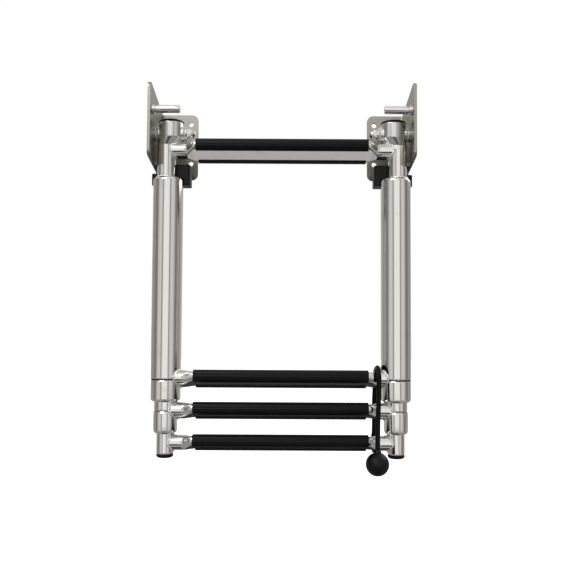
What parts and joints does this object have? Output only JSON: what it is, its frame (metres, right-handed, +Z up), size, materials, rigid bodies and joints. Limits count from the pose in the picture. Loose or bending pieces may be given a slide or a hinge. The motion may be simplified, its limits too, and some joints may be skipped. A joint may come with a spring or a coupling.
{
  "type": "boat boarding ladder",
  "caption": "Telescoping stainless boarding ladder that hangs from hinged transom brackets, with padded steps and a rubber retaining strap.",
  "frame": {"origin": "on the transom plane, midway between the two bracket flanges", "axes": "+X right for someone facing the boat, +Y towards the boat, +Z up along the posts"},
  "size_m": [0.339, 0.1034, 0.4825],
  "materials": {
    "polished_steel": "mirror-polished stainless steel",
    "bracket_steel": "satin stainless steel plate",
    "cast_steel": "polished stainless steel casting",
    "fastener_steel": "bright stainless steel fasteners",
    "black_nylon": "moulded black nylon, lightly textured",
    "white_nylon": "natural nylon, smooth",
    "pad_rubber": "ribbed black rubber",
    "strap_rubber": "smooth black rubber cord",
    "ball_plastic": "satin black moulded ball"
  },
  "bodies": {
    "brackets": {"bracket_right": "bracket_steel", "bracket_left": "bracket_steel", "stop_rod_right": "polished_steel", "stop_rod_left": "polished_steel", "post_rest_right": "black_nylon", "post_rest_left": "black_nylon", "rest_screws": "fastener_steel", "pivot_bolt_right": "fastener_steel", "pivot_bolt_left": "fastener_steel", "cap_nuts": "fastener_steel", "cheek_washers": "fastener_steel", "nut_washers": "fastener_steel"},
    "outer_section": {"outer_tube_right": "polished_steel", "outer_tube_left": "polished_steel", "neck_tube_right": "polished_steel", "neck_tube_left": "polished_steel", "hinge_knuckle_right": "cast_steel", "hinge_knuckle_left": "cast_steel", "knuckle_cap_right": "black_nylon", "knuckle_cap_left": "black_nylon", "pivot_bushes": "white_nylon", "outer_collar_right": "polished_steel", "outer_collar_left": "polished_steel", "outer_guide_bush_right": "white_nylon", "outer_guide_bush_left": "white_nylon", "step_1_tube": "polished_steel", "step_1_pad": "pad_rubber", "step_2_tube": "polished_steel", "step_2_pad": "pad_rubber", "retaining_strap": "strap_rubber", "strap_ball": "ball_plastic", "strap_eyelet": "strap_rubber"},
    "middle_section": {"middle_tube_right": "polished_steel", "middle_tube_left": "polished_steel", "middle_slider_right": "white_nylon", "middle_slider_left": "white_nylon", "middle_collar_right": "polished_steel", "middle_collar_left": "polished_steel", "middle_guide_bush_right": "white_nylon", "middle_guide_bush_left": "white_nylon", "step_3_tube": "polished_steel", "step_3_pad": "pad_rubber"},
    "inner_section": {"inner_tube_right": "polished_steel", "inner_tube_left": "polished_steel", "inner_slider_right": "white_nylon", "inner_slider_left": "white_nylon", "foot_cap_right": "black_nylon", "foot_cap_left": "black_nylon", "step_4_tube": "polished_steel", "step_4_pad": "pad_rubber"}
  },
  "joints": [
    {"name": "ladder_swing", "type": "hinge", "parent": "brackets", "child": "outer_section", "pos_m": [0, -0.054, 0.008], "axis": [-1, 0, 0], "range_deg": [0, 100]},
    {"name": "middle_slide", "type": "slide", "parent": "outer_section", "child": "middle_section", "axis": [0, 0, -1], "range_m": [0, 0.24]},
    {"name": "inner_slide", "type": "slide", "parent": "middle_section", "child": "inner_section", "axis": [0, 0, -1], "range_m": [0, 0.24]}
  ]
}
